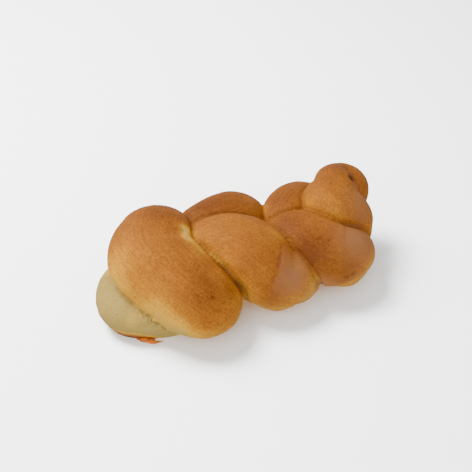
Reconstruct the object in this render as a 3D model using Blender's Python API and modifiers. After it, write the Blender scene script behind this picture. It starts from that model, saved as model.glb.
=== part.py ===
"""A braided bread roll: three strands of dough plaited, baked and grown together into one solid.

The roll lies along X, its folded first turn at -X and its curled knob at +X, and stands on the plane
Z = 0. The origin is the middle of the base. At the front, -Y, the strands come outwards over the top.
"""

import math

import bmesh
import bpy
import numpy as np
from mathutils import Matrix, Vector

MM = 0.001

# Driving dimensions, in millimetres
SLUMP = 0.80            # height of a baked strand over its width
SETTLE_HEIGHT = 6.0     # below this height the soft dough settled on to the tray
SETTLE = 1.6            # how many times as deep it reaches there
SECTION_SIDES = 24      # round a strand
SECTION_STEP = 3.2      # along a strand
END_LENGTH = 0.85       # of a strand's rounded end, over its radius
END_ANGLES = (15, 30, 45, 60, 72, 82)   # degrees round that end where it has sections
CORE_PLACE = (3.0, 2.0, 8.0)            # of the crumb that fills the middle, under the strands
CORE_HALF_SIZE = (54.0, 11.5, 14.0)
CORE_SIDES = 32
CREASE_DETAIL = 1.2     # size of the smallest form kept where strands meet
CREASE_SMOOTHING = 2    # passes over them
FACES = 7000            # triangles of the finished skin, about
TRAY_WIDTH = 300.0      # of the slab that stands for the tray
TRAY_DEPTH = 50.0

CRUST_COLOR = (0.44, 0.185, 0.05, 1.0)
CRUST_ROUGHNESS = 0.5

# Routes of the three strands, in millimetres: x, y, height and half width at each place
FIRST_STRAND = [
    # from the tray at the back, left
    (-41, 20, 9, 12), (-36.5, 22, 15, 15.5), (-29.6, 17.5, 25.7, 18.6),
    # big lobe over the top, from back to front
    (-34.4, 7, 26.3, 20.2), (-32.2, -4, 25, 20), (-26.2, -13, 20.5, 19.5), (-19, -17.2, 12.8, 17.5),
    # back through under the middle
    (-14.5, -10.5, 6, 7.5), (0, -3, 8, 8.5), (12, 2, 9, 12), (23, 8, 14, 12.5),
    # second lobe of the back
    (33, 14, 20.5, 14), (41.5, 19, 21.5, 15.5), (48.5, 20.5, 16.5, 15), (53, 16, 10, 12),
]
SECOND_STRAND = [
    # from the back, under the big lobe
    (-31, 25, 9, 11), (-26, 21, 14, 12), (-17, 14, 20, 12),
    # middle lobe of the front
    (-9, 8, 23.5, 14.5), (-0.5, 1.5, 25.5, 17), (6.5, -7, 24, 18), (12.4, -12.3, 17.2, 17.8),
    (21.9, -12.1, 12.8, 17),
    # under the last front lobe to the right end
    (28, -10.8, 9, 12.3), (38, 0, 10, 12), (49, 3, 10, 12), (56, 0, 12, 11), (60.5, -2, 19, 9),
    # up over the end and curled round into the knob
    (61.9, -1.8, 25, 7.6), (58, 1, 28.9, 11.3), (52.5, 7.6, 32, 13.5), (56.3, 12.5, 34.7, 11.3),
    (59.4, 18, 34.8, 9.4), (64.6, 19, 34, 8.2), (67, 13.5, 33, 7.4), (65.3, 11, 27, 7.5), (59, 10, 18, 10),
    (56, 9, 10, 11),
]
THIRD_STRAND = [
    # pale fold round the left end, then under the big lobe
    (-24, -12, 7, 9), (-35, -11.2, 8.5, 10.6), (-45.3, -7.8, 9, 11.2), (-50.4, -2.8, 9.5, 12),
    (-50.6, 4.4, 10.6, 11.9), (-43, 11, 12, 12), (-30, 9, 10, 12), (-17, 9, 17, 13),
    # first lobe of the back
    (-8.6, 16.5, 22, 14.7), (2.5, 20, 23.5, 16), (10.5, 22, 21, 16), (15, 20.5, 12, 14),
    # last lobe of the front
    (21, 12, 12, 13), (28, 4, 18.5, 14), (35.5, -4.5, 21.5, 17), (43, -11, 18, 18),
    (49.3, -10.8, 16.2, 16.2), (52.2, -8.4, 10.3, 13.9),
]


def natural_spline(knots, values, places):
    """The natural cubic spline through values at knots, read at places."""
    gaps = np.diff(knots)
    count = len(knots)
    system = np.eye(count)
    load = np.zeros((count, values.shape[1]))
    slopes = np.diff(values, axis=0) / gaps[:, None]
    for i in range(1, count - 1):
        system[i, i - 1:i + 2] = gaps[i - 1], 2 * (gaps[i - 1] + gaps[i]), gaps[i]
        load[i] = 6 * (slopes[i] - slopes[i - 1])
    bend = np.linalg.solve(system, load)
    i = np.clip(np.searchsorted(knots, places) - 1, 0, count - 2)
    gap = gaps[i][:, None]
    after = (places - knots[i])[:, None] / gap
    before = 1 - after
    curving = ((before**3 - before) * bend[i] + (after**3 - after) * bend[i + 1]) * gap**2 / 6
    return before * values[i] + after * values[i + 1] + curving


def rounded_end(last, inner):
    """Sections that close a strand past its section last, away from its neighbour inner."""
    outward = last[:3] - inner[:3]
    outward /= np.linalg.norm(outward)
    sections = []
    for angle in np.radians(END_ANGLES):
        centre = last[:3] + outward * last[3] * END_LENGTH * math.sin(angle)
        sections.append((*centre, last[3] * math.cos(angle)))
    return sections


def strand_sections(route):
    """Places and half widths (x, y, z, radius) all along a strand, with its rounded ends."""
    route = np.array(route, float)
    lengths = np.linalg.norm(np.diff(route[:, :3], axis=0), axis=1)
    knots = np.concatenate([[0], np.cumsum(lengths)])
    places = np.linspace(0, knots[-1], round(knots[-1] / SECTION_STEP))
    sections = natural_spline(knots, route, places)
    start = rounded_end(sections[0], sections[1])
    finish = rounded_end(sections[-1], sections[-2])
    return np.array([*reversed(start), *sections, *finish])


def make_strand(name, route, collection):
    """A round tube along the route, pressed down to SLUMP of its height."""
    curve = bpy.data.curves.new(name, "CURVE")
    curve.dimensions = "3D"
    curve.bevel_depth = 1.0
    curve.bevel_resolution = SECTION_SIDES // 4 - 1
    curve.use_fill_caps = True
    sections = strand_sections(route)
    spline = curve.splines.new("POLY")
    spline.points.add(len(sections) - 1)
    for point, (x, y, z, radius) in zip(spline.points, sections):
        point.co = (x * MM, y * MM, z / SLUMP * MM, 1)
        point.radius = radius * MM
    tube = bpy.data.objects.new(name + "_route", curve)
    collection.objects.link(tube)
    bpy.context.view_layer.update()
    depsgraph = bpy.context.evaluated_depsgraph_get()
    mesh = bpy.data.meshes.new_from_object(tube.evaluated_get(depsgraph))
    work = bmesh.new()
    work.from_mesh(mesh)
    bmesh.ops.remove_doubles(work, verts=work.verts, dist=0.00001)
    bmesh.ops.scale(work, vec=(1, 1, SLUMP), verts=work.verts)
    work.to_mesh(mesh)
    work.free()
    settle(mesh)
    strand = bpy.data.objects.new(name, mesh)
    strand.matrix_world = tube.matrix_world
    collection.objects.link(strand)
    bpy.data.objects.remove(tube)
    return strand


def settle(mesh):
    """Lets the underside of the dough reach down on to the tray."""
    height = SETTLE_HEIGHT * MM
    for vertex in mesh.vertices:
        vertex.co.z = min(vertex.co.z, height + (vertex.co.z - height) * SETTLE)


def make_core(collection):
    """The crumb that joins the strands in the middle, seen only from below."""
    bpy.ops.mesh.primitive_uv_sphere_add(segments=CORE_SIDES, ring_count=CORE_SIDES // 2, radius=MM)
    core = bpy.context.active_object
    core.name = "core"
    core.data.transform(Matrix.Diagonal((*CORE_HALF_SIZE, 1)))
    core.location = Vector(CORE_PLACE) * MM
    move_to(core, collection)


def make_tray_cutter(collection):
    """A slab whose top face is the tray on which the dough lay."""
    bpy.ops.mesh.primitive_cube_add(size=1)
    slab = bpy.context.active_object
    slab.name = "tray_cutter"
    slab.scale = (TRAY_WIDTH * MM, TRAY_WIDTH * MM, TRAY_DEPTH * MM)
    slab.location.z = -TRAY_DEPTH * MM / 2
    slab.hide_render = True
    slab.display_type = "WIRE"
    move_to(slab, collection)


def move_to(obj, collection):
    for other in list(obj.users_collection):
        other.objects.unlink(obj)
    collection.objects.link(obj)


def make_crust():
    material = bpy.data.materials.new("crust")
    material.use_nodes = True
    shader = material.node_tree.nodes["Principled BSDF"]
    shader.inputs["Base Color"].default_value = CRUST_COLOR
    shader.inputs["Roughness"].default_value = CRUST_ROUGHNESS
    shader.inputs["Metallic"].default_value = 0.0
    return material


def apply_modifiers(body):
    bpy.context.view_layer.update()
    depsgraph = bpy.context.evaluated_depsgraph_get()
    mesh = bpy.data.meshes.new_from_object(body.evaluated_get(depsgraph))
    body.modifiers.clear()
    body.data = mesh


def apply_boolean(body, operation, collection):
    """Joins body with the collection's objects, or cuts them out of it, and removes them."""
    tool = body.modifiers.new(operation.lower(), "BOOLEAN")
    tool.operation = operation
    tool.operand_type = "COLLECTION"
    tool.collection = collection
    tool.solver = "EXACT"
    tool.use_self = True
    apply_modifiers(body)
    for other in list(collection.objects):
        bpy.data.objects.remove(other)


def round_creases(body):
    """One even skin over the joined strands, then fewer and larger faces where it is smooth."""
    remesh = body.modifiers.new("skin", "REMESH")
    remesh.mode = "VOXEL"
    remesh.voxel_size = CREASE_DETAIL * MM
    smooth = body.modifiers.new("smooth", "SMOOTH")
    smooth.factor = 0.5
    smooth.iterations = CREASE_SMOOTHING
    apply_modifiers(body)
    triangles = sum(len(face.vertices) - 2 for face in body.data.polygons)
    decimate = body.modifiers.new("facets", "DECIMATE")
    decimate.ratio = FACES / triangles
    apply_modifiers(body)


def main():
    for obj in list(bpy.data.objects):
        bpy.data.objects.remove(obj)
    model = bpy.data.collections.new("roll")
    strands = bpy.data.collections.new("strands")
    cutters = bpy.data.collections.new("cutters")
    for collection in (model, strands, cutters):
        bpy.context.scene.collection.children.link(collection)

    roll = make_strand("roll", FIRST_STRAND, model)
    make_strand("second_strand", SECOND_STRAND, strands)
    make_strand("third_strand", THIRD_STRAND, strands)
    make_core(strands)
    apply_boolean(roll, "UNION", strands)
    round_creases(roll)
    make_tray_cutter(cutters)
    apply_boolean(roll, "DIFFERENCE", cutters)

    corners = np.array([vertex.co for vertex in roll.data.vertices])
    low, high = corners.min(axis=0), corners.max(axis=0)
    for vertex in roll.data.vertices:
        vertex.co.x -= (low[0] + high[0]) / 2
        vertex.co.y -= (low[1] + high[1]) / 2
        vertex.co.z -= low[2]
    roll.data.shade_smooth()
    roll.data.materials.clear()
    roll.data.materials.append(make_crust())


main()
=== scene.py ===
"""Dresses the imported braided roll: a fine crust that stands for the plain solid, a baked flake on the
floor, soft studio light and the photograph's camera."""
import math

import bmesh
import bpy
import numpy as np
from mathutils import Matrix, Vector, noise


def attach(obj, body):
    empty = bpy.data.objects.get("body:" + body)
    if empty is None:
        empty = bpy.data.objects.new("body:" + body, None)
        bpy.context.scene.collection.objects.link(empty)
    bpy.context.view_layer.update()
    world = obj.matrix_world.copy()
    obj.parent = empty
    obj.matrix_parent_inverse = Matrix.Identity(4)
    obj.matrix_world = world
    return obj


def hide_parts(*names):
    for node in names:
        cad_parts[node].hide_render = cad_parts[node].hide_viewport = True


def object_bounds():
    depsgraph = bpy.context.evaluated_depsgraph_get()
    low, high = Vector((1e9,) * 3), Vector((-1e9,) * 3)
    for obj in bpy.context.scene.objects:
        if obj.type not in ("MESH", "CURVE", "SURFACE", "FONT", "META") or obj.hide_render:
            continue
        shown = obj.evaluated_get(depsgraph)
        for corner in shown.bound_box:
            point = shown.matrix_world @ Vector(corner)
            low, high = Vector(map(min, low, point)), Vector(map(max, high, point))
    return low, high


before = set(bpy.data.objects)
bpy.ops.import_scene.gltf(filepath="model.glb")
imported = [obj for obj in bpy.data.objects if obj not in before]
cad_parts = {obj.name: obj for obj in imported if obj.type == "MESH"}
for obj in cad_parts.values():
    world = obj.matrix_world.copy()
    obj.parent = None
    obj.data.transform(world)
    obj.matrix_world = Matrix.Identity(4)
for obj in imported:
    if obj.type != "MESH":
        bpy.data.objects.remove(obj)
CAD_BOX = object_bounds()
MM = 0.001

# Camera: from the left and above, as far off as the photograph's perspective asks, in metres
CAMERA_AZIMUTH = -22.0
CAMERA_ELEVATION = 42.0
CAMERA_DISTANCE = 0.42
PHOTO_SIZE = 472
PIXELS_PER_MM = 2.15         # at the part's origin
ORIGIN_PIXEL = (242.1, 285.3)
SENSOR_WIDTH = 36.0          # in millimetres
NEAREST = 0.01               # that the camera sees

# Shape of the crust, in millimetres; the strands are those of the part's source
ORIGIN_ON_ROUTES = (5.6, 1.26)   # where the part's origin lies in the routes' plan
SLUMP = 0.80                 # height of a baked strand over its width
SETTLE_HEIGHT = 6.0          # below this height the soft dough settled on to the tray
SETTLE = 1.6                 # how many times as deep it reaches there
SECTION_SIDES = 64           # round a strand
SECTION_STEP = 1.5           # along a strand, where its gaps and its grain are read
FINE_STEP = 0.5              # along its skin
END_LENGTH = 0.85            # of a strand's rounded end, over its radius
END_ANGLES = (15, 30, 45, 60, 72, 82)   # degrees round that end where it has sections
CORE_PLACE = (3.0, 2.0, 8.0)            # of the crumb that fills the middle, under the strands
CORE_HALF_SIZE = (54.0, 11.5, 14.0)
CORE_SIDES = 48
WELD = 0.01                  # corners closer than this become one
DETAIL = 0.55    # size of the smallest form kept where strands meet
FINE_CREASE = 1.6            # within this gap between two strands the faces are smaller
PIT_REACH = 2                # of the smaller faces round a hole, over its radius
ON_BASE = 0.01               # below this height a corner lies on the flat base
BASE_EDGE = 1.0              # and below this one the creases stay as they are, for its clean edge
INSET = 0.3                  # how much tighter the crust lies than the strands' full size
INSIDE = 0.05                # kept between the crust and the solid's box
PLACES_AT_ONCE = 5000        # whose gaps are found together

# Relief of the crust, in millimetres: how far it goes in or out, and how wide or large it is
LUMPS = 0.35
LUMP_SIZE = 14.0
SMALL_LUMPS = 0.12
SMALL_LUMP_SIZE = 4.5
RAW_LUMPS = 0.3              # more of them on raw dough
RIDGES = 0.08                # lines along the strands, where the dough was stretched
RIDGE_SIZE = 1.5
RIDGE_STRETCH = 0.15         # their width over their length
CREASE_DEPTH = 0.8           # how much deeper the creases are cut in than the strands' round sides
CREASE_WIDTH = 0.8
GAPE_DEPTH = 1.7             # and how much deeper still where they gape
GAPE_WIDTH = 1.4
TEAR_WIDTH = 1.8             # of the torn skin beside a crease
STRING_RELIEF = 2.2          # rough dough in the creases, where the strands pulled apart
STRING_WIDTH = 2.8
STRING_SIZE = 1.7
FINE_STRINGS = 0.5           # strings half as large, as a share of the relief of the others
STRAND_SPACING = 100.0       # keeps the patterns of the three strands apart
GRAIN_JUMP = 2.5             # between two neighbouring corners, where the grain isn't one pattern

# How far off in the noise each of these patterns is read, so that no two are alike
SMALL_LUMP_SHIFT = 50
STRING_SHIFT = 90
FINE_STRING_SHIFT = 30
SCAR_SHIFT = 20

# Evening out: how far a corner is drawn to the mean of its neighbours, 0 to 1, and how many times
JOINT_SHARE = 0.5            # the skin where strands meet
JOINT_PASSES = 2
EVEN_SHARE = 0.5             # the directions and gaps found at the corners
EVEN_PASSES = 5
SOFT_SHARE = 0.7             # creases, before they are cut deeper
SOFT_PASSES = 12
SOFT_WIDTH = 1.3
FOLD_REACH = 2               # how strongly a strand's folds against itself count as creases there
CREASE_PASSES = 3            # creases, after that
CREASE_EVEN_WIDTH = 1.0
STRINGS_KEPT = 2             # how strongly the strings keep their shape then
GAPE_SHARE = 0.8             # gaping creases
GAPE_PASSES = 14
GAPE_EVEN_WIDTH = 1.6
TONE_SHARE = 0.6             # the browning across a crease

# Browning, as a tone up to 1, dark brown
PALEST = -0.3                # raw dough
RAW_END = 0.1                # from this tone on the crust has nothing of raw dough
SIDE_TONE = 0.32
TOP_TONE = 0.22              # more on top, as the crust turns upwards from the first to the second
TURNED_UP = (-0.5, 0.7)
HIGH_TONE = 0.06             # more on the high parts, from the first height to the second
HIGH_PARTS = (8, 34)
TORN_TONE = -0.05            # torn dough in the creases
TORN_SHARE = 0.6             # how near the torn places come to it
STRING_PALENESS = 0.3
EDGE_FADE = (0.7, 1.3)       # where the baked edge ends, over its radius
CREASE_SHADE = 0.3           # of the painted shade, a dark line in a crease
SHADE_WIDTH = 0.7
GAPE_SHADE = 0.8
STRING_LIGHT = 0.8           # how much of that painted shade strings of dough hide

# Places on the strands, here and below, in millimetres in the routes' frame; strands count from 0.
# Browner places on each strand, and paler ones with a negative amount: x, y, height, radius, amount
BROWNED = (
    (   # big lobe: golden left flank, brown right half, pale under its edges; second lobe of the back
        (-52, 0, 32, 11, -0.26), (-54, -3, 22, 9, -0.16), (-43, -23, 23, 11, -0.27),
        (-34, -31, 13, 10, -0.30), (-24, -28, 27, 11, 0.15), (-26, -34, 17, 7, 0.12),
        (-21, -20, 33, 9, 0.06), (-26, -4, 40, 8, 0.04), (-27, 18, 41, 12, 0.19),
        (-10, -26, 20, 4, -0.2), (-17, -7, 35, 6, -0.28), (-13, -20, 31, 4, -0.1),
        (-19, 6, 37, 3.2, -0.7), (-20, 0, 38, 3, -0.6),
        (36, 18, 33, 14, 0.18), (28, 17, 31, 5, 0.10), (22, 19, 27, 3.5, -0.35),
    ),
    (   # middle lobe of the front; knob
        (-12, -3, 34, 9, -0.03), (-8, -14, 32, 6, -0.12), (2, -16, 36, 9, 0.07), (7, -29, 17, 7, 0.25),
        (-2, -25, 22, 4, -0.08), (12, -20, 30, 8, 0.05), (28, -24, 17, 7, -0.16), (18, -9, 35, 5, -0.15),
        (-18, 5, 37, 3.5, -0.6), (41, 5, 36, 7, -0.10), (50, 8, 42, 6, 0.07), (48, -5, 36, 5, -0.08),
        (60, 18, 40, 8, 0.22), (66, 8, 35, 7, 0.18), (63.5, 4, 36.5, 4.5, -0.16), (60, -7, 29, 7, 0.08),
    ),
    (   # pale fold at the left end; first lobe of the back; last lobe of the front
        (-56, -8, 14, 16, -0.9), (-60, 6, 12, 14, -0.6), (-40, -22, 10, 12, -0.8), (-52, -17, 13, 10, 0.4),
        (5, 20, 34, 16, 0.24), (-7, 22, 34, 7, 0.2), (19, 18, 31, 6, -0.06),
        (28, -19, 28, 10, 0.42), (27, -1, 33, 8, 0.24), (39, -16, 33, 8, 0.10), (44, -26, 17, 9, 0.28),
        (57, -24, 20, 7, -0.14), (33, -24, 12, 4, -0.3), (34, -27, 19, 5, 0.12),
    ),
)

# Creases torn open and pale inside: the strands that show it, then x, y, height, radius, amount
TORN = (
    ((0, 1), -19, 4, 37, 4.5, 1.0), ((0,), -16, -4, 34, 5, 0.6), ((1,), -14, -12, 31, 9, 0.9),
    ((1,), -8, -22, 24, 8, 0.8),
    ((0, 2), -40, -26, 20, 9, 1.4), ((0, 2), 22, 18, 29, 4, 0.5),
)
# Creases with strings of raw dough drawn across them, likewise
STRINGY = (((0, 2), -43.5, -18, 13, 9, 1.2), ((0, 2), 22, 18, 29, 5, 0.4), ((0, 1), -20, 4, 37, 5, 0.3))
# Creases that gape, deeper and with painted shade inside, likewise
GAPING = (
    ((0, 1), -9, -15, 28, 8, 1.0), ((0, 1), -6, -24, 23, 7, 1.0), ((0, 1), -15, -5, 33, 4, 0.6),
    ((0, 2), -14, 20, 31, 4, 0.8), ((0, 2), -52, -5, 19, 9, 0.35),
    ((1, 2), 50, -6, 30, 9, 0.3), ((1, 2), 60, -8, 25, 5, 0.2),
)
# Greyish patches: painted sheen on the front lobes' right sides, and painted shade on shaded rims and low
# places: the strand, then x, y, height, radius, amount
SHEEN_AND_SHADE = (
    (1, 18, -26, 24, 10, 0.85), (2, 52, -18, 25.5, 10, 1.0), (1, 35, -25, 13, 5, 0.9),
    (1, 62, -3, 33, 8, 0.75), (2, 33.5, -24, 13, 6, 1.0),
)
# A stretch mark over the middle lobe of the front; the painted sheen lies behind it
SCAR_STRAND = 1
SCAR_MIDDLE = (13.0, -20.9, 27.4)
SCAR_HALF_LENGTH = 13.5
SCAR_ACROSS = (0.835, -0.459, -0.302)    # direction across it
SCAR_WIDTH = 1.0
SCAR_DEPTH = 0.3
SCAR_WAVES = 0.8             # how far it strays from a straight line
SCAR_WAVE_SIZE = 5.0
SCAR_ENDS = (0.4, 1.0)       # where it fades out, over its half length
SCAR_BREAKS = (-0.3, 0.2)    # it is missing below the first value of its noise, whole from the second
SCAR_BREAK_SIZE = 2.5
SHEEN_START = (-0.5, 1.5)    # how far behind it the painted sheen begins and is full
# Small dark spots, the last of them painted shade in the knob's hole: the strand, then x, y, height,
# radius, amount
SPOTS = (
    (2, 35, -16, 32.5, 0.9, 0.35), (2, 39, -18, 32, 0.8, 0.25), (2, 47, -28, 17.5, 0.9, 0.5),
    (2, 44, -29, 16.5, 0.8, 0.4), (0, -20.3, -30, 28, 0.7, 0.5), (1, 26, -25.5, 8, 1.1, 0.6),
    (0, -15, 16, 34, 1.6, 0.35), (1, 63.5, 9.5, 40, 1.7, 0.75),
)
# Small holes: x, y, height, radius, depth
PITS = (
    (63.5, 9.5, 40, 1.4, 3.5), (-20, 5.5, 38, 1.0, 1.4), (-48, -20, 17, 1.3, 0.8), (-56, -3, 19, 2.5, 0.4),
    (-52, -10, 20, 2.0, 0.4),
)
# The fold's brown line where it touched the tray: x, y, radius, height, amount
EDGE_STRAND = 2
BAKED_EDGE = (-56, -7, 17, 8, 1.0)
# Two strips of dough baked on to the tray beside the fold: x, y, height, half width along each
FLAKE = (
    [(-49.5, -14.2, 1.2, 0.8), (-47.5, -16, 1.4, 1.4), (-45, -17.2, 1.2, 1.2), (-43, -17.6, 0.9, 0.4)],
    [(-47, -16.8, 0.9, 0.7), (-44.6, -18.6, 1.0, 0.9), (-42.4, -19.4, 0.9, 0.7), (-40, -19.6, 0.7, 0.25)],
)
FLAKE_STEP = 0.4
FLAKE_SIDES = 16
FLAKE_THICKNESS = 0.5        # over its width
FLAKE_LUMPS = 0.25
FLAKE_SEED = 1               # without it the clock would choose the lumps
FLAKE_LUMP_SCALE = 1.3       # lumps in a millimetre, about
FLAKE_SPOT_SCALE = 600       # spots in a metre, about
# Its two colours, and from where to where in the pattern of the spots one turns into the other
FLAKE_TONES = ((0.35, (0.24, 0.06, 0.012)), (0.65, (0.62, 0.17, 0.022)))
FLAKE_SPECULAR = 0.1
FLAKE_ROUGHNESS = 0.6

# Colours of the painted shade in the creases and of the dark flecks, of the patches of painted sheen and
# shade, and of the stretch mark
SHADE_AND_FLECK_COLOR = (0.09, 0.032, 0.010)
SHEEN_AND_SHADE_COLOR = (0.25, 0.104, 0.043)
SCAR_COLOR = (0.20, 0.052, 0.014)

# Colours of the crust by tone, from raw dough to dark brown; the raw dough's colours are darker than the
# gold after them: painted shade, as the raw dough lies low, in creases and under the big lobe
CRUST_TONES = (
    (-0.3, (0.352, 0.243, 0.066)), (-0.1, (0.35, 0.238, 0.055)), (0.05, (0.45, 0.295, 0.060)),
    (0.15, (0.62, 0.31, 0.026)), (0.42, (0.38, 0.140, 0.011)), (0.6, (0.27, 0.086, 0.009)),
    (0.8, (0.18, 0.053, 0.007)), (1.0, (0.115, 0.030, 0.004)),
)

# Fine patterns of the crust: how many waves lie in a millimetre, for the lines along the strands, or in
# a metre, for the others, and how much they change the tone either way
PATTERN_DETAIL = 3
PATTERN_MIDDLE = 0.5         # of the lines, which stay at it where the grain jumps
MOTTLING_SCALE = 160
MOTTLING = 0.10
LINE_SCALE = 1.6
LINE_STRETCH = (0.08, 1, 1)  # fewer waves along the strand than across it
LINES = 0.16
SPECK_SCALE = 1000
SPECKS = (0.2, 0.045)        # how much they grow with the tone, and their amount at a tone of 0
FLECK_START = 0.5            # specks above it are dark flecks too
SHEEN_MOTTLING = (0.8, 0.5)  # how much the mottling strengthens the painted sheen and shade, and how strong they are elsewhere
SHADE = 0.9                  # of the painted shade, the dark lines in the creases
SPECULAR = 0.06
ROUGHNESS = (0.8, 0.5)       # at a tone of 0 and of 1
PORE_SCALE = 1400
PORES = 0.5                  # their share of the finest relief; the lines have the rest
FINEST_RELIEF = 0.15         # in millimetres
RELIEF_STRENGTH = 0.6

# Sockets of a mix node that carry colours: the two that go in, and the one that comes out
MIX_BELOW = 6
MIX_ABOVE = 7
MIX_OUT = 2

# Floor and lights, in metres and watts: the lights' places, sizes and powers
FLOOR_HALF_SIZE = 3.0
FLOOR_COLOR = (0.9, 0.9, 0.9)
FLOOR_ROUGHNESS = 0.8
KEY_LIGHT = ((-0.35, 0.42, 0.6), 0.35, 8.0)
FILL_LIGHT = ((-0.45, -0.5, 0.5), 0.8, 7.0)
FLOOR_LIGHT = ((-0.25, 0.3, 0.7), 0.3, 22.0)    # for the floor alone
SKY_STRENGTH = 1.1

# Routes of the three strands, in millimetres: x, y, height and half width at each place
FIRST_STRAND = [
    # from the tray at the back, left
    (-41, 20, 9, 12), (-36.5, 22, 15, 15.5), (-29.6, 17.5, 25.7, 18.6),
    # big lobe over the top, from back to front
    (-34.4, 7, 26.3, 20.2), (-32.2, -4, 25, 20), (-26.2, -13, 20.5, 19.5), (-19, -17.2, 12.8, 17.5),
    # back through under the middle
    (-14.5, -10.5, 6, 7.5), (0, -3, 8, 8.5), (12, 2, 9, 12), (23, 8, 14, 12.5),
    # second lobe of the back
    (33, 14, 20.5, 14), (41.5, 19, 21.5, 15.5), (48.5, 20.5, 16.5, 15), (53, 16, 10, 12),
]
SECOND_STRAND = [
    # from the back, under the big lobe
    (-31, 25, 9, 11), (-26, 21, 14, 12), (-17, 14, 20, 12),
    # middle lobe of the front
    (-9, 8, 23.5, 14.5), (-0.5, 1.5, 25.5, 17), (6.5, -7, 24, 18), (12.4, -12.3, 17.2, 17.8),
    (21.9, -12.1, 12.8, 17),
    # under the last front lobe to the right end
    (28, -10.8, 9, 12.3), (38, 0, 10, 12), (49, 3, 10, 12), (56, 0, 12, 11), (60.5, -2, 19, 9),
    # up over the end and curled round into the knob
    (61.9, -1.8, 25, 7.6), (58, 1, 28.9, 11.3), (52.5, 7.6, 32, 13.5), (56.3, 12.5, 34.7, 11.3),
    (59.4, 18, 34.8, 9.4), (64.6, 19, 34, 8.2), (67, 13.5, 33, 7.4), (65.3, 11, 27, 7.5), (59, 10, 18, 10),
    (56, 9, 10, 11),
]
THIRD_STRAND = [
    # pale fold round the left end, then under the big lobe
    (-24, -12, 7, 9), (-35, -11.2, 8.5, 10.6), (-45.3, -7.8, 9, 11.2), (-50.4, -2.8, 9.5, 12),
    (-50.6, 4.4, 10.6, 11.9), (-43, 11, 12, 12), (-30, 9, 10, 12), (-17, 9, 17, 13),
    # first lobe of the back
    (-8.6, 16.5, 22, 14.7), (2.5, 20, 23.5, 16), (10.5, 22, 21, 16), (15, 20.5, 12, 14),
    # last lobe of the front
    (21, 12, 12, 13), (28, 4, 18.5, 14), (35.5, -4.5, 21.5, 17), (43, -11, 18, 18),
    (49.3, -10.8, 16.2, 16.2), (52.2, -8.4, 10.3, 13.9),
]
STRANDS = (FIRST_STRAND, SECOND_STRAND, THIRD_STRAND)


# Shape of the crust

def natural_spline(knots, values, places):
    """The natural cubic spline through values at knots, read at places."""
    gaps = np.diff(knots)
    count = len(knots)
    system = np.eye(count)
    load = np.zeros((count, values.shape[1]))
    slopes = np.diff(values, axis=0) / gaps[:, None]
    for i in range(1, count - 1):
        system[i, i - 1:i + 2] = gaps[i - 1], 2 * (gaps[i - 1] + gaps[i]), gaps[i]
        load[i] = 6 * (slopes[i] - slopes[i - 1])
    bend = np.linalg.solve(system, load)
    i = np.clip(np.searchsorted(knots, places) - 1, 0, count - 2)
    gap = gaps[i][:, None]
    after = (places - knots[i])[:, None] / gap
    before = 1 - after
    curving = ((before**3 - before) * bend[i] + (after**3 - after) * bend[i + 1]) * gap**2 / 6
    return before * values[i] + after * values[i + 1] + curving


def rounded_end(last, inner):
    """Sections that close a strand past its section last, away from its neighbour inner."""
    outward = last[:3] - inner[:3]
    outward /= np.linalg.norm(outward)
    sections = []
    for angle in np.radians(END_ANGLES):
        centre = last[:3] + outward * last[3] * END_LENGTH * math.sin(angle)
        sections.append((*centre, last[3] * math.cos(angle)))
    return sections


def strand_sections(route, step=SECTION_STEP):
    """Places and half widths (x, y, z, radius) all along a strand, with its rounded ends."""
    route = np.array(route, float)
    lengths = np.linalg.norm(np.diff(route[:, :3], axis=0), axis=1)
    knots = np.concatenate([[0], np.cumsum(lengths)])
    places = np.linspace(0, knots[-1], round(knots[-1] / step))
    sections = natural_spline(knots, route, places)
    start = rounded_end(sections[0], sections[1])
    finish = rounded_end(sections[-1], sections[-2])
    return np.array([*reversed(start), *sections, *finish])


def strand_mesh(sections, sides=SECTION_SIDES):
    """A round tube along the sections, in millimetres."""
    curve = bpy.data.curves.new("strand", "CURVE")
    curve.dimensions = "3D"
    curve.bevel_depth = 1.0
    curve.bevel_resolution = sides // 4 - 1
    curve.use_fill_caps = True
    spline = curve.splines.new("POLY")
    spline.points.add(len(sections) - 1)
    for point, (x, y, z, radius) in zip(spline.points, sections):
        point.co = (x, y, z, 1)
        point.radius = radius
    tube = bpy.data.objects.new("strand", curve)
    bpy.context.scene.collection.objects.link(tube)
    bpy.context.view_layer.update()
    mesh = bpy.data.meshes.new_from_object(tube.evaluated_get(bpy.context.evaluated_depsgraph_get()))
    bpy.data.objects.remove(tube)
    return mesh


def pressed_strand(sections):
    """A strand pressed down to SLUMP of its height and settled on the tray."""
    mesh = strand_mesh(sections / (1, 1, SLUMP, 1))
    for vertex in mesh.vertices:
        height = vertex.co.z * SLUMP
        vertex.co.z = min(height, SETTLE_HEIGHT + (height - SETTLE_HEIGHT) * SETTLE)
    return mesh


def joined_strands(all_sections):
    """One skin, in millimetres, over the three strands and the crumb between them."""
    work = bmesh.new()
    for sections in all_sections:
        work.from_mesh(pressed_strand(sections))
    core = bmesh.ops.create_uvsphere(work, u_segments=CORE_SIDES, v_segments=CORE_SIDES // 2, radius=1)
    place = Matrix.Translation(CORE_PLACE) @ Matrix.Diagonal((*CORE_HALF_SIZE, 1))
    bmesh.ops.transform(work, matrix=place, verts=core["verts"])
    bmesh.ops.remove_doubles(work, verts=work.verts, dist=WELD)
    mesh = bpy.data.meshes.new("crust")
    work.to_mesh(mesh)
    work.free()
    crust = bpy.data.objects.new("crust", mesh)
    bpy.context.scene.collection.objects.link(crust)
    remesh = crust.modifiers.new("skin", "REMESH")
    remesh.mode = "VOXEL"
    remesh.voxel_size = DETAIL
    smooth = crust.modifiers.new("smooth", "SMOOTH")
    smooth.factor = JOINT_SHARE
    smooth.iterations = JOINT_PASSES
    apply_modifiers(crust)
    return crust


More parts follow.
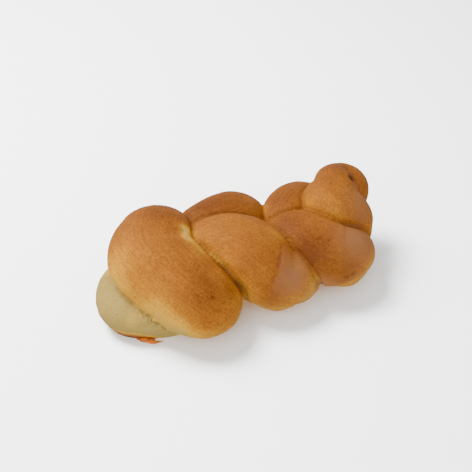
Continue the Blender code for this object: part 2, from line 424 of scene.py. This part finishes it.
def apply_modifiers(obj):
    bpy.context.view_layer.update()
    mesh = bpy.data.meshes.new_from_object(obj.evaluated_get(bpy.context.evaluated_depsgraph_get()))
    obj.modifiers.clear()
    obj.data = mesh


def corners(mesh):
    places = np.empty(len(mesh.vertices) * 3, np.float32)
    mesh.vertices.foreach_get("co", places)
    return places.reshape(-1, 3).astype(float)


def set_corners(mesh, places):
    mesh.vertices.foreach_set("co", places.astype(np.float32).ravel())
    mesh.update()


def flatten_base(mesh):
    """Cuts the skin off at the tray, with a clean flat face under it."""
    work = bmesh.new()
    work.from_mesh(mesh)
    geometry = [*work.verts, *work.edges, *work.faces]
    cut = bmesh.ops.bisect_plane(
        work, geom=geometry, plane_co=(0, 0, 0), plane_no=(0, 0, 1), clear_inner=True
    )
    rim = [edge for edge in cut["geom_cut"] if isinstance(edge, bmesh.types.BMEdge)]
    bmesh.ops.edgeloop_fill(work, edges=rim)
    bmesh.ops.triangulate(work, faces=[face for face in work.faces if len(face.verts) > 4])
    work.to_mesh(mesh)
    work.free()


def fit_in_box(places):
    """Moves the crust from the routes' frame into the part's, in metres, inside the solid's box."""
    places = (places - (*ORIGIN_ON_ROUTES, 0)) * MM
    room = np.array(CAD_BOX[1]) - INSIDE * MM
    return places * np.minimum(1, room / abs(places).max(axis=0))


# Where each corner of the crust lies on its strand

def unpressed(places):
    """Places as they were before the dough slumped and settled, where a strand's sections are round."""
    z = places[:, 2]
    z = np.where(z < SETTLE_HEIGHT, SETTLE_HEIGHT + (z - SETTLE_HEIGHT) / SETTLE, z)
    return np.column_stack([places[:, :2], z / SLUMP])


def strand_frames(sections):
    """Round centres, lengths from the start, and two directions across, carried along without twist."""
    centres = sections[:, :3] / (1, 1, SLUMP)
    steps = np.diff(centres, axis=0)
    lengths = np.concatenate([[0], np.cumsum(np.linalg.norm(steps, axis=1))])
    tangents = np.gradient(centres, axis=0)
    tangents /= np.linalg.norm(tangents, axis=1)[:, None]
    across = [np.cross(tangents[0], (0.0, 0.0, 1.0))]
    for tangent in tangents:
        side = across[-1] - tangent * (across[-1] @ tangent)
        across.append(side / np.linalg.norm(side))
    across = np.array(across[1:])
    return centres, lengths, tangents, across, np.cross(tangents, across)


def locate(places, all_sections):
    """For each place: its strand, the gap to the next strand, and its place on its own strand."""
    points = unpressed(places)
    gaps, grains = [], []
    for index, sections in enumerate(all_sections):
        centres, lengths, tangents, across, upward = strand_frames(sections)
        gap = np.empty(len(points))
        grain = np.empty((len(points), 3))
        for start in range(0, len(points), PLACES_AT_ONCE):
            part = slice(start, start + PLACES_AT_ONCE)
            offset = points[part, None] - centres
            away = np.linalg.norm(offset, axis=2) - sections[:, 3]
            near = away.argmin(axis=1)
            gap[part] = away.min(axis=1)
            offset = offset[np.arange(len(near)), near]
            grain[part, 0] = lengths[near] + np.einsum("ij,ij->i", offset, tangents[near])
            grain[part, 1] = np.einsum("ij,ij->i", offset, across[near]) + STRAND_SPACING * index
            grain[part, 2] = np.einsum("ij,ij->i", offset, upward[near])
        gaps.append(gap)
        grains.append(grain)
    owner = np.argmin(gaps, axis=0)
    crease = np.sort(gaps, axis=0)[1]
    return owner, crease, np.array(grains)[owner, np.arange(len(points))]


def edge_ends(mesh):
    ends = np.empty(len(mesh.edges) * 2, np.int32)
    mesh.edges.foreach_get("vertices", ends)
    return ends.reshape(-1, 2)


def evened(mesh, values, share, passes):
    """Values at the corners, drawn in each pass by a share, 0 to 1, to the mean of their neighbours'."""
    ends = edge_ends(mesh)
    here = np.concatenate([ends[:, 0], ends[:, 1]])
    there = np.concatenate([ends[:, 1], ends[:, 0]])
    count = np.bincount(here, minlength=len(values))
    columns = values.reshape(len(values), -1).T
    for _ in range(passes):
        around = [
            np.bincount(here, weights=column[there], minlength=len(values)) / count for column in columns
        ]
        columns = columns + share * (np.array(around) - columns)
    return columns.T.reshape(values.shape)


def seams(mesh, grain):
    """1 at corners next to which the grain jumps to another place of the strands, else 0."""
    ends = edge_ends(mesh)
    jumps = np.linalg.norm(grain[ends[:, 0]] - grain[ends[:, 1]], axis=1) > GRAIN_JUMP
    seam = np.zeros(len(grain))
    seam[ends[jumps].ravel()] = 1
    return seam


# Relief and browning

def noise_at(places, size):
    """Smooth noise from about -1 to 1, with waves of about the given size."""
    return np.array([noise.noise(Vector(place)) for place in places / size])


def smoothstep(low, high, values):
    """0 up to low and 1 from high on, with a smooth rise between them."""
    share = np.clip((values - low) / (high - low), 0, 1)
    return share * share * (3 - 2 * share)


def normals_of(mesh):
    normals = np.empty(len(mesh.vertices) * 3, np.float32)
    mesh.vertices.foreach_get("normal", normals)
    return normals.reshape(-1, 3).astype(float)


def patch(places, place, radius):
    """1 at a place, fading to 0 at about twice the radius from it."""
    distance = np.linalg.norm(places - place, axis=1)
    return np.exp(-(distance / radius)**2)


def in_creases(zones, width, places, owner, crease):
    """How strongly each place belongs to the zones of the creases, within a width of them."""
    share = np.zeros(len(places))
    for strands, x, y, z, radius, amount in zones:
        share = np.maximum(share, amount * patch(places, (x, y, z), radius) * np.isin(owner, strands))
    return share * closeness(crease, width)


def closeness(crease, width):
    """1 in a crease, fading to 0 at about twice the width from it."""
    return np.exp(-(np.clip(crease, 0, None) / width)**2)


def scar_sheen_and_shade(places, owner):
    """The stretch mark, and the patches of painted sheen and shade, each from 0 to 1."""
    beyond = (places - SCAR_MIDDLE) @ SCAR_ACROSS + SCAR_WAVES * noise_at(places, SCAR_WAVE_SIZE)
    ends = 1 - smoothstep(*SCAR_ENDS, np.linalg.norm(places - SCAR_MIDDLE, axis=1) / SCAR_HALF_LENGTH)
    whole = smoothstep(*SCAR_BREAKS, noise_at(places + SCAR_SHIFT, SCAR_BREAK_SIZE))
    scar = np.exp(-(beyond / SCAR_WIDTH)**2) * ends * whole * (owner == SCAR_STRAND)
    sheen_and_shade = np.zeros(len(places))
    for strand, x, y, z, radius, amount in SHEEN_AND_SHADE:
        sheen_and_shade = np.maximum(sheen_and_shade, amount * patch(places, (x, y, z), radius) * (owner == strand))
    sheen_and_shade *= np.where(owner == SCAR_STRAND, smoothstep(*SHEEN_START, beyond), 1)
    return scar, sheen_and_shade


def pits(places):
    """How deep the small holes are at each place, in millimetres."""
    depth = np.zeros(len(places))
    for x, y, z, radius, deepest in PITS:
        depth += deepest * patch(places, (x, y, z), radius)
    return depth


def strings(places):
    """The pattern of the strings of raw dough, raised above 0 and sunk below it."""
    pattern = noise_at(places + STRING_SHIFT, STRING_SIZE)
    return pattern + FINE_STRINGS * noise_at(places + FINE_STRING_SHIFT, STRING_SIZE / 2)


def relief(places, crease, grain, raw, stringy, gape, scar):
    """How far each corner of the crust stands out, in millimetres."""
    height = LUMPS * noise_at(places, LUMP_SIZE) - INSET
    height += (SMALL_LUMPS + RAW_LUMPS * raw) * noise_at(places + SMALL_LUMP_SHIFT, SMALL_LUMP_SIZE)
    height += RIDGES * noise_at(grain * (RIDGE_STRETCH, 1, 1), RIDGE_SIZE)
    height -= CREASE_DEPTH * closeness(crease, CREASE_WIDTH) + GAPE_DEPTH * gape
    height += STRING_RELIEF * stringy
    return height - SCAR_DEPTH * scar - pits(places)


def browning(places, normals, owner, torn):
    """How brown the crust is: its tone, from PALEST to 1."""
    tone = SIDE_TONE + TOP_TONE * smoothstep(*TURNED_UP, normals[:, 2])
    tone += HIGH_TONE * smoothstep(*HIGH_PARTS, places[:, 2])
    for strand, spots in enumerate(BROWNED):
        for x, y, z, radius, amount in spots:
            tone += amount * patch(places, (x, y, z), radius) * (owner == strand)
    tone = np.clip(tone, PALEST, 1)
    tone += TORN_SHARE * torn * (TORN_TONE - tone)
    # small dark spots; the one in the knob's hole is painted shade
    for strand, x, y, z, radius, amount in SPOTS:
        tone += amount * patch(places, (x, y, z), radius) * (owner == strand)
    x, y, radius, height, amount = BAKED_EDGE
    near = np.hypot(places[:, 0] - x, places[:, 1] - y) / radius
    low = 1 - smoothstep(0, height, places[:, 2])
    tone += amount * (1 - smoothstep(*EDGE_FADE, near)) * low * (owner == EDGE_STRAND)
    return np.clip(tone, PALEST, 1)


def refine(mesh, chosen):
    """Faces half as long between the chosen corners."""
    work = bmesh.new()
    work.from_mesh(mesh)
    work.verts.ensure_lookup_table()
    edges = [edge for edge in work.edges if all(chosen[vert.index] for vert in edge.verts)]
    bmesh.ops.subdivide_edges(work, edges=edges, cuts=1, use_grid_fill=True)
    work.to_mesh(mesh)
    work.free()


def refine_details(mesh, all_sections):
    """Smaller faces along the creases and round the small holes."""
    places = corners(mesh)
    crease = locate(places, all_sections)[1]
    refine(mesh, (crease < FINE_CREASE) & (places[:, 2] > BASE_EDGE))
    for x, y, z, radius, _ in PITS:
        refine(mesh, np.linalg.norm(corners(mesh) - (x, y, z), axis=1) < PIT_REACH * radius)


def soften_creases(mesh, all_sections):
    """Evens out the steps that joining the strands left along their creases."""
    places = corners(mesh)
    _, crease, grain = locate(places, all_sections)
    folds = np.clip(FOLD_REACH * evened(mesh, seams(mesh, grain), EVEN_SHARE, EVEN_PASSES), 0, 1)
    share = SOFT_SHARE * np.maximum(closeness(crease, SOFT_WIDTH), folds) * (places[:, 2] > BASE_EDGE)
    set_corners(mesh, evened(mesh, places, share, SOFT_PASSES))


def even_cuts(mesh, places, owner, crease, stringy):
    """Evens out the creases after they were cut deeper, most of all where they gape."""
    loose = np.clip(closeness(crease, CREASE_EVEN_WIDTH) - STRINGS_KEPT * abs(stringy), 0, 1)
    places = evened(mesh, places, loose * (places[:, 2] > BASE_EDGE), CREASE_PASSES)
    wide = np.clip(in_creases(GAPING, GAPE_EVEN_WIDTH, places, owner, crease), 0, GAPE_SHARE)
    return evened(mesh, places, wide * (places[:, 2] > BASE_EDGE), GAPE_PASSES)


def add_attribute(mesh, name, values):
    kind = "FLOAT_VECTOR" if values.ndim == 2 else "FLOAT"
    field = "vector" if values.ndim == 2 else "value"
    attribute = mesh.attributes.new(name, kind, "POINT")
    attribute.data.foreach_set(field, values.astype(np.float32).ravel())


# The whole crust

def make_crust():
    """The skin over the three strands, with its browning, its stretch mark and spots, its painted shade
    and sheen, and its relief.
    """
    all_sections = [strand_sections(route) for route in STRANDS]
    crust = joined_strands([strand_sections(route, FINE_STEP) for route in STRANDS])
    mesh = crust.data
    flatten_base(mesh)
    refine_details(mesh, all_sections)
    soften_creases(mesh, all_sections)

    places = corners(mesh)
    normals = evened(mesh, normals_of(mesh), EVEN_SHARE, EVEN_PASSES)
    owner, crease, grain = locate(places, all_sections)
    crease = evened(mesh, crease, EVEN_SHARE, EVEN_PASSES)
    torn = in_creases(TORN, TEAR_WIDTH, places, owner, crease)
    ragged = in_creases(STRINGY, STRING_WIDTH, places, owner, crease)
    stringy = ragged * strings(places)
    gape = in_creases(GAPING, GAPE_WIDTH, places, owner, crease)
    scar, sheen_and_shade = scar_sheen_and_shade(places, owner)

    tone = browning(places, normals, owner, torn)
    tone = np.maximum(tone - STRING_PALENESS * np.clip(stringy, 0, 1), PALEST)
    tone = evened(mesh, tone, TONE_SHARE * closeness(crease, CREASE_EVEN_WIDTH), EVEN_PASSES)
    # Painted shade: a dark line along each crease, darker where it gapes, lighter where strings of dough
    # cross it
    shade = CREASE_SHADE * closeness(crease, SHADE_WIDTH) + GAPE_SHADE * gape
    shade *= 1 - STRING_LIGHT * np.clip(ragged, 0, 1)
    add_attribute(mesh, "tone", tone)
    add_attribute(mesh, "seam", seams(mesh, grain))
    add_attribute(mesh, "grain", grain)
    # the stretch mark, the patches of painted sheen and shade, and the painted shade in the creases
    add_attribute(mesh, "scar_and_painted_light", np.column_stack([scar, sheen_and_shade, shade]))

    outward = np.where(places[:, 2:] < ON_BASE, 0, normals)
    raw = 1 - smoothstep(PALEST, RAW_END, tone)
    places = places + outward * relief(places, crease, grain, raw, stringy, gape, scar)[:, None]
    places = even_cuts(mesh, places, owner, crease, stringy)
    places[:, 2] = np.maximum(places[:, 2], 0)
    set_corners(mesh, fit_in_box(places))
    mesh.shade_smooth()
    mesh.materials.append(make_crust_material())
    return crust


# Material of the crust

def attribute_node(tree, name):
    node = tree.nodes.new("ShaderNodeAttribute")
    node.attribute_name = name
    return node


def noise_node(tree, vector, scale, stretch=(1, 1, 1)):
    """A pattern from 0 to 1 over the places that the vector gives."""
    mapping = tree.nodes.new("ShaderNodeMapping")
    mapping.inputs["Scale"].default_value = stretch
    tree.links.new(vector, mapping.inputs["Vector"])
    texture = tree.nodes.new("ShaderNodeTexNoise")
    texture.inputs["Scale"].default_value = scale
    texture.inputs["Detail"].default_value = PATTERN_DETAIL
    tree.links.new(mapping.outputs["Vector"], texture.inputs["Vector"])
    return texture.outputs["Fac"]


def maths(tree, operation, *values):
    """The outcome of an operation on values that are numbers or outputs of other nodes."""
    node = tree.nodes.new("ShaderNodeMath")
    node.operation = operation
    for socket, value in zip(node.inputs, values):
        if isinstance(value, (int, float)):
            socket.default_value = value
        else:
            tree.links.new(value, socket)
    return node.outputs[0]


def added(tree, base, pattern, amount):
    """base plus a pattern that goes from 0 to 1, as a change of amount either way."""
    either_way = maths(tree, "MULTIPLY_ADD", pattern, 2, -1)
    return maths(tree, "MULTIPLY_ADD", either_way, amount, base)


def tinted(tree, base, share, color):
    """The colour base with a share, 0 to 1, of another colour over it."""
    mix = tree.nodes.new("ShaderNodeMix")
    mix.data_type = "RGBA"
    tree.links.new(share, mix.inputs["Factor"])
    tree.links.new(base, mix.inputs[MIX_BELOW])
    mix.inputs[MIX_ABOVE].default_value = (*color, 1)
    return mix.outputs[MIX_OUT]


def tone_color(tree, tone):
    """The crust's colour at a tone."""
    ramp = tree.nodes.new("ShaderNodeValToRGB")
    for _ in range(len(CRUST_TONES) - 2):
        ramp.color_ramp.elements.new(0.5)
    lowest = CRUST_TONES[0][0]
    for element, (stop, color) in zip(ramp.color_ramp.elements, CRUST_TONES):
        element.position = (stop - lowest) / (1 - lowest)
        element.color = (*color, 1)
    along = maths(tree, "MULTIPLY_ADD", tone, 1 / (1 - lowest), -lowest / (1 - lowest))
    tree.links.new(along, ramp.inputs["Fac"])
    return ramp.outputs["Color"]


def make_crust_material():
    material = bpy.data.materials.new("crust")
    material.use_nodes = True
    tree = material.node_tree
    shader = tree.nodes["Principled BSDF"]
    place = tree.nodes.new("ShaderNodeTexCoord").outputs["Object"]
    baked = attribute_node(tree, "tone").outputs["Fac"]
    grain = attribute_node(tree, "grain").outputs["Vector"]
    seam = attribute_node(tree, "seam").outputs["Fac"]
    scar_and_painted_light = tree.nodes.new("ShaderNodeSeparateXYZ")
    tree.links.new(attribute_node(tree, "scar_and_painted_light").outputs["Vector"], scar_and_painted_light.inputs["Vector"])
    scar, sheen_and_shade, shade = scar_and_painted_light.outputs

    mottling = noise_node(tree, place, MOTTLING_SCALE)
    specks = noise_node(tree, place, SPECK_SCALE)
    pores = noise_node(tree, place, PORE_SCALE)
    lines = noise_node(tree, grain, LINE_SCALE, LINE_STRETCH)
    lines = maths(tree, "ADD", maths(tree, "MULTIPLY", lines, maths(tree, "SUBTRACT", 1, seam)),
                  maths(tree, "MULTIPLY", seam, PATTERN_MIDDLE))
    brown = added(tree, baked, mottling, MOTTLING)
    brown = added(tree, brown, lines, LINES)
    brown = added(tree, brown, specks, maths(tree, "MULTIPLY_ADD", baked, *SPECKS))

    color = tone_color(tree, brown)
    flecks = maths(tree, "MAXIMUM", maths(tree, "SUBTRACT", specks, FLECK_START), 0)
    color = tinted(tree, color, flecks, SHADE_AND_FLECK_COLOR)
    color = tinted(tree, color, scar, SCAR_COLOR)
    # patches of painted sheen and shade, greyish and mottled
    sheen_share = maths(tree, "MULTIPLY", sheen_and_shade, maths(tree, "MULTIPLY_ADD", mottling, *SHEEN_MOTTLING))
    color = tinted(tree, color, sheen_share, SHEEN_AND_SHADE_COLOR)
    # painted shade in the creases
    color = tinted(tree, color, maths(tree, "MULTIPLY", shade, SHADE), SHADE_AND_FLECK_COLOR)
    tree.links.new(color, shader.inputs["Base Color"])
    shader.inputs["Specular IOR Level"].default_value = SPECULAR

    shine = tree.nodes.new("ShaderNodeMapRange")
    shine.inputs["To Min"].default_value, shine.inputs["To Max"].default_value = ROUGHNESS
    tree.links.new(brown, shine.inputs["Value"])
    tree.links.new(shine.outputs["Result"], shader.inputs["Roughness"])

    height = maths(tree, "MULTIPLY_ADD", lines, 1 - PORES, maths(tree, "MULTIPLY", pores, PORES))
    bump = tree.nodes.new("ShaderNodeBump")
    bump.inputs["Strength"].default_value = RELIEF_STRENGTH
    bump.inputs["Distance"].default_value = FINEST_RELIEF * MM
    tree.links.new(height, bump.inputs["Height"])
    tree.links.new(bump.outputs["Normal"], shader.inputs["Normal"])
    return material


# Flake

def make_flake():
    """The two thin strips on the tray, in one piece, rough and flat underneath."""
    work = bmesh.new()
    for route in FLAKE:
        work.from_mesh(strand_mesh(strand_sections(route, FLAKE_STEP), FLAKE_SIDES))
    bmesh.ops.remove_doubles(work, verts=work.verts, dist=WELD)
    noise.seed_set(FLAKE_SEED)
    for vertex in work.verts:
        vertex.co += FLAKE_LUMPS * noise.noise_vector(vertex.co * FLAKE_LUMP_SCALE)
        vertex.co.z = max(vertex.co.z * FLAKE_THICKNESS, 0)
        vertex.co = (vertex.co - Vector((*ORIGIN_ON_ROUTES, 0))) * MM
    mesh = bpy.data.meshes.new("flake")
    work.to_mesh(mesh)
    work.free()
    mesh.shade_smooth()
    mesh.materials.append(make_flake_material())
    flake = bpy.data.objects.new("flake", mesh)
    bpy.context.scene.collection.objects.link(flake)
    return flake


def make_flake_material():
    material = bpy.data.materials.new("flake")
    material.use_nodes = True
    tree = material.node_tree
    shader = tree.nodes["Principled BSDF"]
    place = tree.nodes.new("ShaderNodeTexCoord")
    spots = tree.nodes.new("ShaderNodeTexNoise")
    spots.inputs["Scale"].default_value = FLAKE_SPOT_SCALE
    tree.links.new(place.outputs["Object"], spots.inputs["Vector"])
    ramp = tree.nodes.new("ShaderNodeValToRGB")
    for element, (position, color) in zip(ramp.color_ramp.elements, FLAKE_TONES):
        element.position = position
        element.color = (*color, 1)
    tree.links.new(spots.outputs["Fac"], ramp.inputs["Fac"])
    tree.links.new(ramp.outputs["Color"], shader.inputs["Base Color"])
    shader.inputs["Specular IOR Level"].default_value = FLAKE_SPECULAR
    shader.inputs["Roughness"].default_value = FLAKE_ROUGHNESS
    return material


# Light, floor and camera

def make_stage():
    """A plain pale floor that throws no light back on to the roll."""
    floor = bpy.data.objects.new("floor", bpy.data.meshes.new("floor"))
    work = bmesh.new()
    bmesh.ops.create_grid(work, x_segments=1, y_segments=1, size=FLOOR_HALF_SIZE)
    work.to_mesh(floor.data)
    work.free()
    bpy.context.scene.collection.objects.link(floor)
    material = bpy.data.materials.new("floor")
    material.use_nodes = True
    shader = material.node_tree.nodes["Principled BSDF"]
    shader.inputs["Base Color"].default_value = (*FLOOR_COLOR, 1)
    shader.inputs["Roughness"].default_value = FLOOR_ROUGHNESS
    floor.data.materials.append(material)
    floor.visible_diffuse = False
    floor.visible_glossy = False
    return floor


def add_light(name, place, size, power):
    """A square white light that faces the origin."""
    light = bpy.data.lights.new(name, "AREA")
    light.energy = power
    light.size = size
    lamp = bpy.data.objects.new(name, light)
    lamp.location = place
    lamp.rotation_euler = (-Vector(place)).to_track_quat("-Z", "Y").to_euler()
    bpy.context.scene.collection.objects.link(lamp)
    return lamp


def make_light(floor):
    """Soft light from all round and from the left, and a lamp for the floor alone."""
    world = bpy.data.worlds.new("studio")
    world.use_nodes = True
    sky = world.node_tree.nodes["Background"]
    sky.inputs["Color"].default_value = (1, 1, 1, 1)
    sky.inputs["Strength"].default_value = SKY_STRENGTH
    bpy.context.scene.world = world
    add_light("key", *KEY_LIGHT)
    add_light("fill", *FILL_LIGHT)
    lit = bpy.data.collections.new("floor_only")
    lit.objects.link(floor)
    add_light("floor_light", *FLOOR_LIGHT).light_linking.receiver_collection = lit


def make_camera():
    """The photograph's camera, turned so that the part's origin falls on ORIGIN_PIXEL."""
    azimuth, elevation = math.radians(CAMERA_AZIMUTH), math.radians(CAMERA_ELEVATION)
    back = Vector((math.sin(azimuth) * math.cos(elevation), -math.cos(azimuth) * math.cos(elevation),
                   math.sin(elevation)))
    camera = bpy.data.cameras.new("camera")
    camera.sensor_width = SENSOR_WIDTH
    focal = PIXELS_PER_MM * CAMERA_DISTANCE / MM
    camera.lens = camera.sensor_width * focal / PHOTO_SIZE
    camera.clip_start = NEAREST
    eye = bpy.data.objects.new("camera", camera)
    look = (-back).to_track_quat("-Z", "Y")
    aside = math.atan((ORIGIN_PIXEL[0] - PHOTO_SIZE / 2) / focal)
    below = math.atan((ORIGIN_PIXEL[1] - PHOTO_SIZE / 2) / focal)
    turn = Matrix.Rotation(below, 4, "X") @ Matrix.Rotation(aside, 4, "Y")
    eye.matrix_world = Matrix.Translation(back * CAMERA_DISTANCE) @ look.to_matrix().to_4x4() @ turn
    bpy.context.scene.collection.objects.link(eye)
    bpy.context.scene.camera = eye


def main():
    crust = make_crust()
    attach(crust, "root")
    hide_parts("roll")
    flake = make_flake()
    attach(flake, "root")
    make_light(make_stage())
    make_camera()


main()
